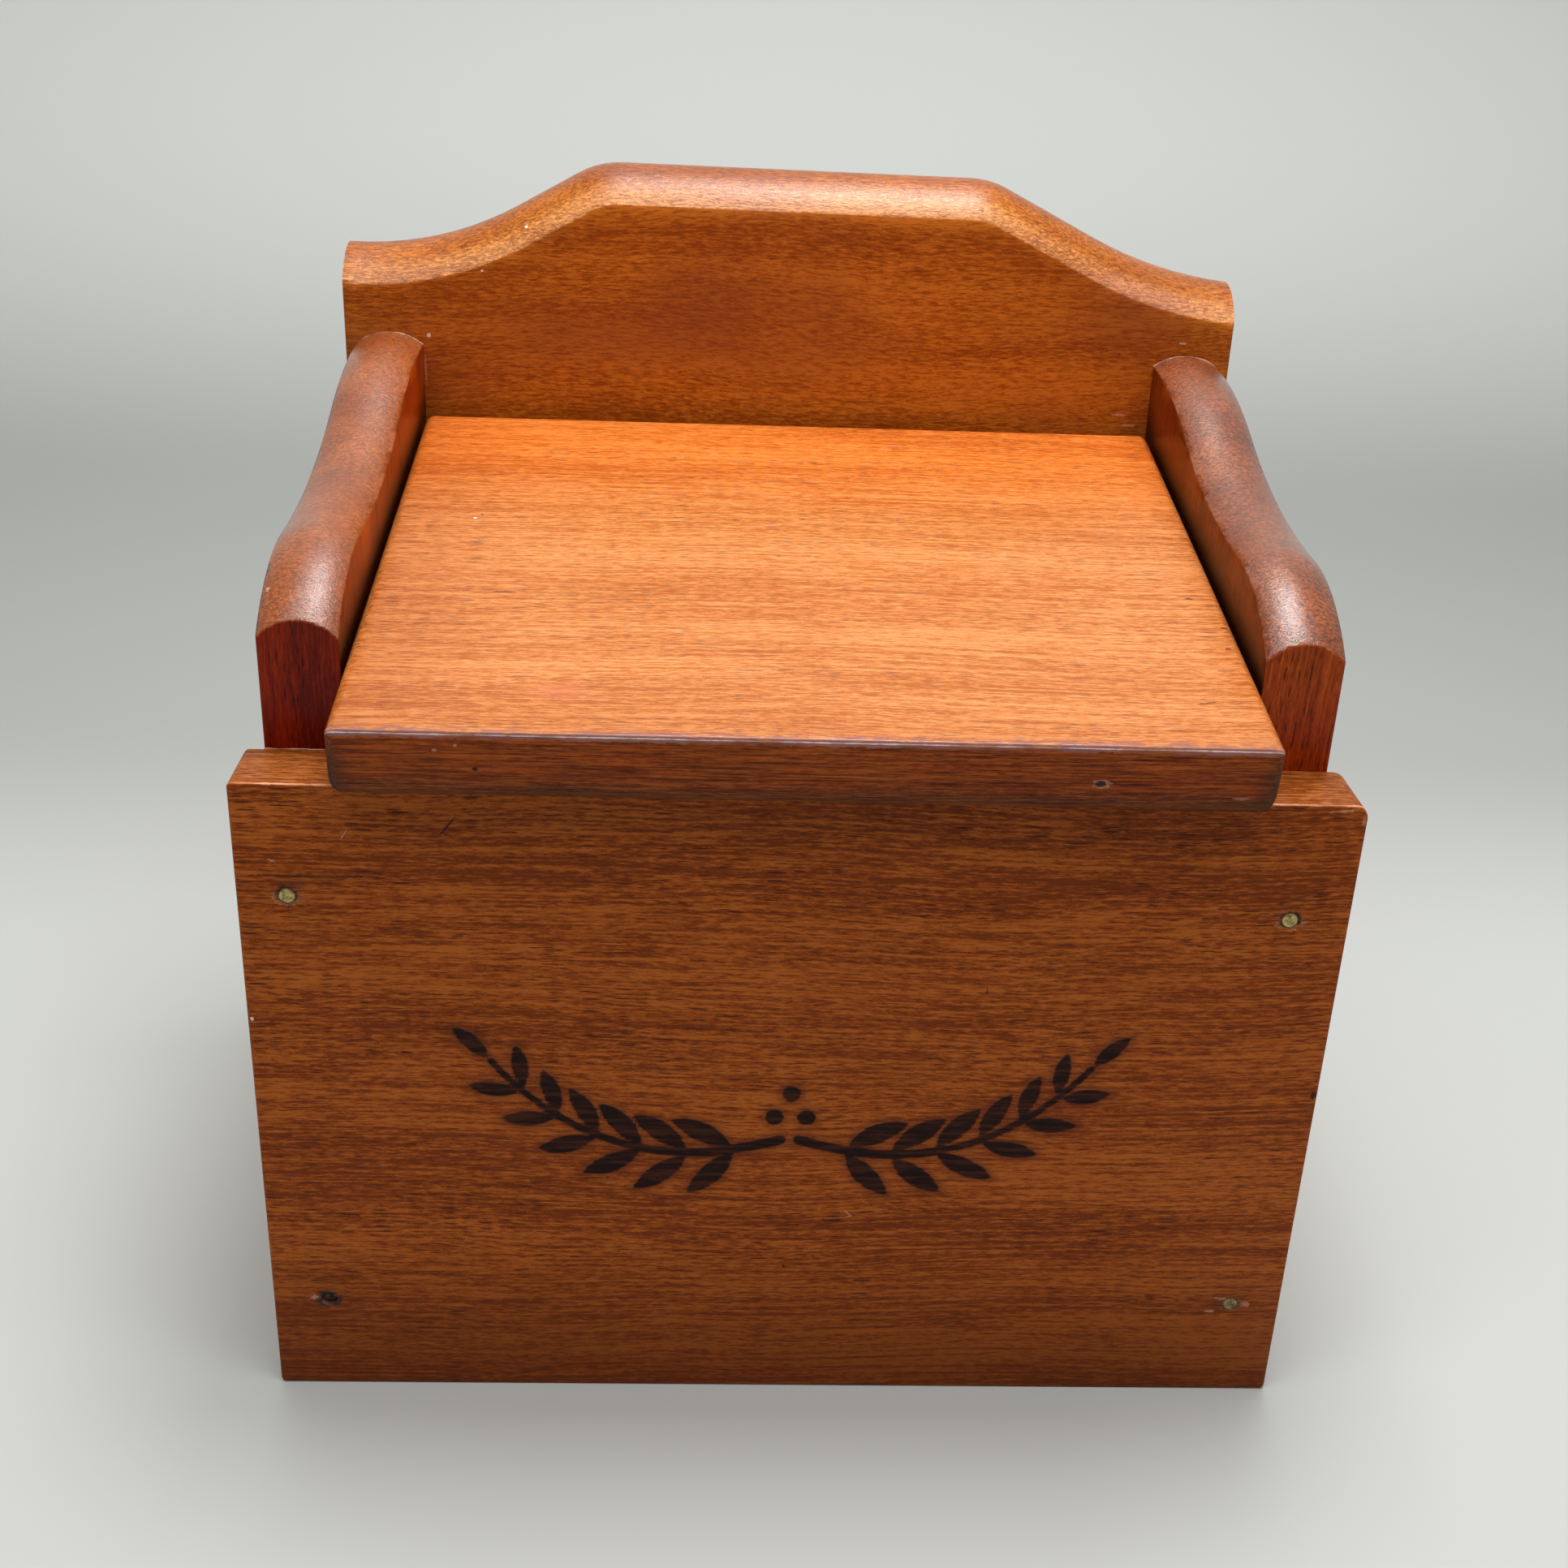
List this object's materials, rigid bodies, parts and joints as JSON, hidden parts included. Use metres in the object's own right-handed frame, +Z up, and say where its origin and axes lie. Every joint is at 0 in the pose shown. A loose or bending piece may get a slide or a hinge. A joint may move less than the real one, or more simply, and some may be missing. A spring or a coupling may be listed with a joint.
{
  "type": "recipe card box",
  "caption": "Wooden box for index cards: nailed walls, raised back board with a rounded crest, scooped sides and a sloping lid that turns up on two pins.",
  "frame": {"origin": "middle of the box's footprint on the table, on the underside of the bottom board", "axes": "+X to the right as one faces the front board, +Y towards the back board, +Z up"},
  "size_m": [0.166, 0.1248, 0.1825],
  "materials": {
    "stained_wood": "reddish brown stain under satin lacquer, dark open pores along the grain",
    "nail_brass": "dull brass nail heads, flush with the wood",
    "nail_steel": "tarnished dark nail heads"
  },
  "bodies": {
    "box": {"front_board": "stained_wood", "back_board": "stained_wood", "left_side": "stained_wood", "right_side": "stained_wood", "bottom_board": "stained_wood", "front_nail_lower_left": "nail_steel", "front_nail_lower_right": "nail_steel", "front_nail_upper_left": "nail_brass", "front_nail_upper_right": "nail_brass", "back_nail_lower_left": "nail_brass", "back_nail_lower_right": "nail_brass", "back_nail_upper_left": "nail_brass", "back_nail_upper_right": "nail_brass", "bottom_nail_front_left": "nail_brass", "bottom_nail_front_right": "nail_brass", "bottom_nail_rear_left": "nail_brass", "bottom_nail_rear_right": "nail_brass", "left_pivot_pin": "nail_brass", "right_pivot_pin": "nail_brass"},
    "lid": {"lid": "stained_wood"}
  },
  "joints": [
    {"name": "lid_hinge", "type": "hinge", "parent": "box", "child": "lid", "pos_m": [0, 0.03852, 0.13138], "axis": [-1, 0, 0], "range_deg": [0, 101.5]}
  ]
}
